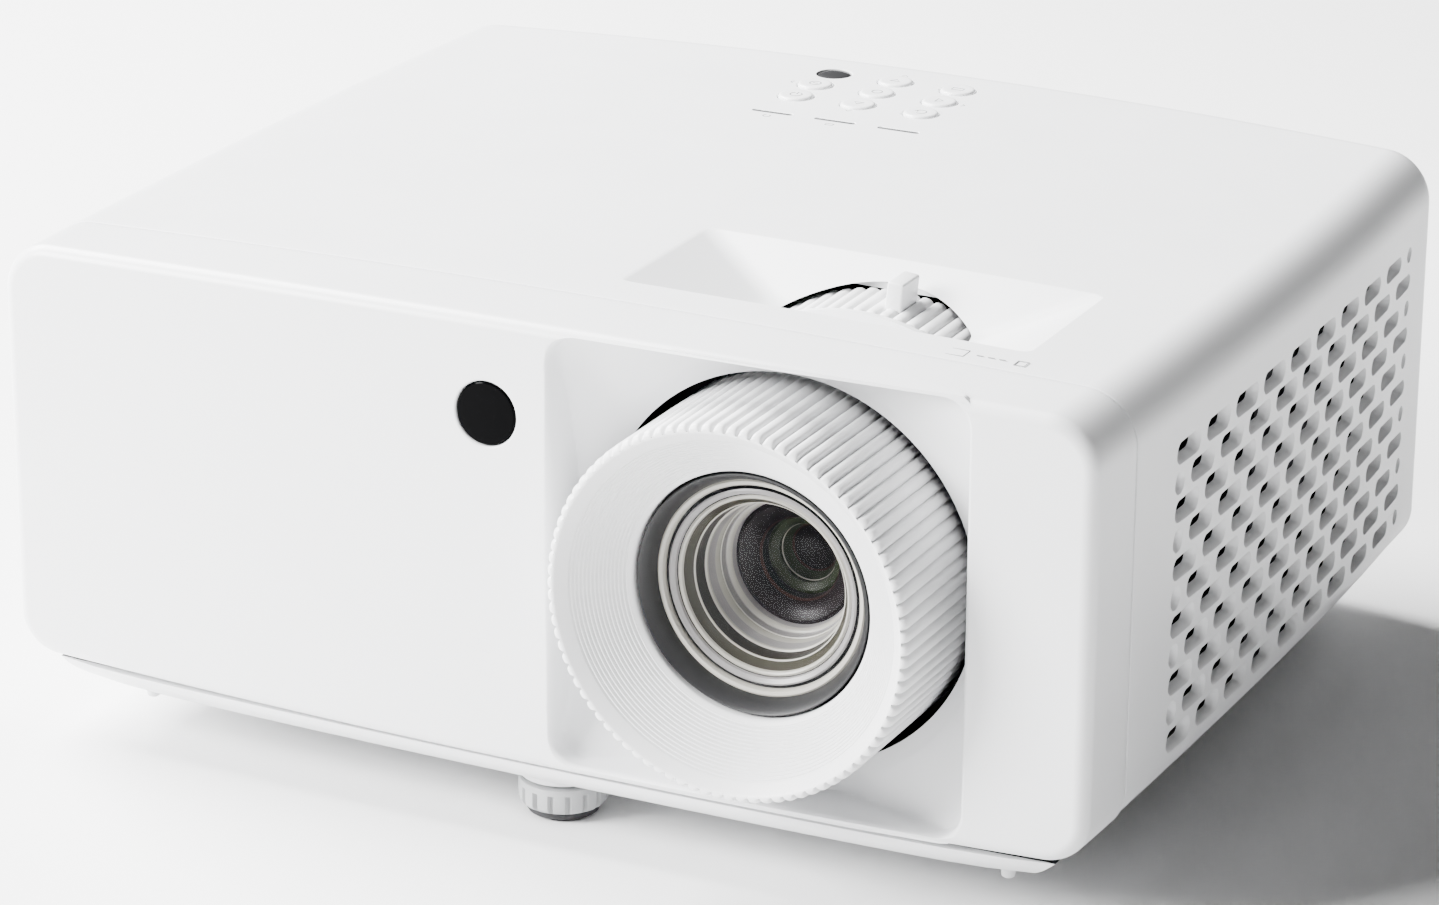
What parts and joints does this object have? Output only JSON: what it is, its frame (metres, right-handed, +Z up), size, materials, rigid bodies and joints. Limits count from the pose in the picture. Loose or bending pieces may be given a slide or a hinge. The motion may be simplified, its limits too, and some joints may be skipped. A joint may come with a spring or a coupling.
{
  "type": "home projector",
  "caption": "Compact white home projector with a ribbed focus ring in a square front pocket, a zoom lever, top keypad, side vent grilles and adjustable feet.",
  "frame": {"origin": "middle of the whole part's box in plan, on the surface that the foot pads stand on", "axes": "+Z up, the lens looks along -Y, +X to the right when looking at the front face from in front"},
  "size_m": [0.274, 0.242, 0.1239],
  "materials": {
    "case_white": "satin white moulded ABS, very fine texture",
    "ring_white": "satin white moulded plastic with fine turned grooves",
    "panel_grey": "satin light grey moulded plastic",
    "foot_grey": "light grey moulded plastic",
    "inner_black": "matt black moulded plastic",
    "window_black": "polished smoked infrared window",
    "light_pipe": "translucent grey light pipe",
    "optical_glass": "coated optical glass",
    "cast_metal": "die-cast, bead blasted",
    "sheet_metal": "bright rolled sheet",
    "circuit_board": "green solder resist",
    "pad_rubber": "matt black rubber",
    "insert_brass": "machined brass"
  },
  "bodies": {
    "case": {"ac_inlet": "inner_black", "audio_out_jack": "inner_black", "bottom_cover": "case_white", "case_screw_1": "sheet_metal", "case_screw_2": "sheet_metal", "case_screw_3": "sheet_metal", "case_screw_4": "sheet_metal", "ceiling_insert_1": "insert_brass", "ceiling_insert_2": "insert_brass", "ceiling_insert_3": "insert_brass", "exhaust_fan_frame": "inner_black", "front_bezel": "case_white", "front_ir_window": "window_black", "hdmi_port_1": "sheet_metal", "hdmi_port_2": "sheet_metal", "heat_light_pipe": "light_pipe", "imaging_board": "circuit_board", "imaging_heat_sink": "sheet_metal", "intake_fan_frame": "inner_black", "keypad_board": "circuit_board", "laser_heat_sink": "sheet_metal", "laser_module": "cast_metal", "lens_barrel": "inner_black", "lens_shroud": "inner_black", "light_engine": "cast_metal", "main_board": "circuit_board", "network_port": "sheet_metal", "power_light_pipe": "light_pipe", "power_supply": "circuit_board", "rear_panel": "panel_grey", "serial_port": "sheet_metal", "source_light_pipe": "light_pipe", "speaker": "inner_black", "top_cover": "case_white", "top_ir_window": "window_black", "usb_power_port": "sheet_metal", "wheel_motor": "cast_metal"},
    "focus_ring_body": {"focus_ring": "ring_white"},
    "front_lens_body": {"front_lens_cell": "inner_black", "front_lens": "optical_glass"},
    "zoom_ring_body": {"zoom_ring": "ring_white"},
    "zoom_lens_body": {"zoom_lens_cell": "inner_black", "zoom_lens": "optical_glass"},
    "exhaust_rotor": {"exhaust_fan_rotor": "inner_black"},
    "intake_rotor": {"intake_fan_rotor": "inner_black"},
    "phosphor_wheel_body": {"phosphor_wheel": "sheet_metal"},
    "key_menu_body": {"key_menu": "case_white"},
    "key_power_body": {"key_power": "case_white"},
    "key_up_body": {"key_up": "case_white"},
    "key_enter_body": {"key_enter": "case_white"},
    "key_down_body": {"key_down": "case_white"},
    "key_source_body": {"key_source": "case_white"},
    "key_right_body": {"key_right": "case_white"},
    "key_back_body": {"key_back": "case_white"},
    "front_foot_pad_body": {"front_foot_pad": "pad_rubber"},
    "front_foot_knob_body": {"front_foot_knob": "foot_grey"},
    "left_rear_foot_pad_body": {"left_rear_foot_pad": "pad_rubber"},
    "left_rear_foot_knob_body": {"left_rear_foot_knob": "foot_grey"},
    "right_rear_foot_pad_body": {"right_rear_foot_pad": "pad_rubber"},
    "right_rear_foot_knob_body": {"right_rear_foot_knob": "foot_grey"}
  },
  "joints": [
    {"name": "focus_turn", "type": "hinge", "parent": "case", "child": "focus_ring_body", "pos_m": [0.0575, -0.1, 0.07], "axis": [0, 1, 0], "range_deg": [-45, 45]},
    {"name": "focus_travel", "type": "slide", "parent": "case", "child": "front_lens_body", "axis": [0, 1, 0], "range_m": [-0.0017, 0.0017]},
    {"name": "zoom_turn", "type": "hinge", "parent": "case", "child": "zoom_ring_body", "pos_m": [0.0575, -0.0435, 0.07], "axis": [0, 1, 0], "range_deg": [-20, 14]},
    {"name": "zoom_travel", "type": "slide", "parent": "case", "child": "zoom_lens_body", "axis": [0, 1, 0], "range_m": [-0.0045, 0.0045]},
    {"name": "menu_press", "type": "slide", "parent": "case", "child": "key_menu_body", "axis": [0, 0, -1], "range_m": [0, 0.0007], "stiffness_N_per_m": 600},
    {"name": "power_press", "type": "slide", "parent": "case", "child": "key_power_body", "axis": [0, 0, -1], "range_m": [0, 0.0007], "stiffness_N_per_m": 600},
    {"name": "up_press", "type": "slide", "parent": "case", "child": "key_up_body", "axis": [0, 0, -1], "range_m": [0, 0.0007], "stiffness_N_per_m": 600},
    {"name": "enter_press", "type": "slide", "parent": "case", "child": "key_enter_body", "axis": [0, 0, -1], "range_m": [0, 0.0007], "stiffness_N_per_m": 600},
    {"name": "down_press", "type": "slide", "parent": "case", "child": "key_down_body", "axis": [0, 0, -1], "range_m": [0, 0.0007], "stiffness_N_per_m": 600},
    {"name": "source_press", "type": "slide", "parent": "case", "child": "key_source_body", "axis": [0, 0, -1], "range_m": [0, 0.0007], "stiffness_N_per_m": 600},
    {"name": "right_press", "type": "slide", "parent": "case", "child": "key_right_body", "axis": [0, 0, -1], "range_m": [0, 0.0007], "stiffness_N_per_m": 600},
    {"name": "back_press", "type": "slide", "parent": "case", "child": "key_back_body", "axis": [0, 0, -1], "range_m": [0, 0.0007], "stiffness_N_per_m": 600},
    {"name": "front_foot_height", "type": "slide", "parent": "case", "child": "front_foot_pad_body", "axis": [0, 0, -1], "range_m": [0, 0.015]},
    {"name": "front_foot_turn", "type": "hinge", "parent": "front_foot_pad_body", "child": "front_foot_knob_body", "pos_m": [0, -0.086, 0.005], "axis": [0, 0, 1], "range_deg": [0, 1805]},
    {"name": "left_rear_foot_height", "type": "slide", "parent": "case", "child": "left_rear_foot_pad_body", "axis": [0, 0, -1], "range_m": [0, 0.015]},
    {"name": "left_rear_foot_turn", "type": "hinge", "parent": "left_rear_foot_pad_body", "child": "left_rear_foot_knob_body", "pos_m": [-0.104, 0.088, 0.005], "axis": [0, 0, 1], "range_deg": [0, 1805]},
    {"name": "right_rear_foot_height", "type": "slide", "parent": "case", "child": "right_rear_foot_pad_body", "axis": [0, 0, -1], "range_m": [0, 0.015]},
    {"name": "right_rear_foot_turn", "type": "hinge", "parent": "right_rear_foot_pad_body", "child": "right_rear_foot_knob_body", "pos_m": [0.104, 0.088, 0.005], "axis": [0, 0, 1], "range_deg": [0, 1805]},
    {"name": "exhaust_spin", "type": "hinge", "parent": "case", "child": "exhaust_rotor", "pos_m": [-0.1205, 0.02, 0.066], "axis": [1, 0, 0], "continuous": true},
    {"name": "intake_spin", "type": "hinge", "parent": "case", "child": "intake_rotor", "pos_m": [0.12, 0.042, 0.066], "axis": [1, 0, 0], "continuous": true},
    {"name": "phosphor_spin", "type": "hinge", "parent": "case", "child": "phosphor_wheel_body", "pos_m": [-0.004, 0.05, 0.07], "axis": [0, 1, 0], "continuous": true}
  ],
  "couplings": [
    {"joint": "focus_travel", "follows": "focus_turn", "m_per_rad": 0.002},
    {"joint": "zoom_travel", "follows": "zoom_turn", "m_per_rad": 0.012},
    {"joint": "front_foot_turn", "follows": "front_foot_height", "rad_per_m": 2094.4},
    {"joint": "left_rear_foot_turn", "follows": "left_rear_foot_height", "rad_per_m": 2094.4},
    {"joint": "right_rear_foot_turn", "follows": "right_rear_foot_height", "rad_per_m": 2094.4}
  ]
}
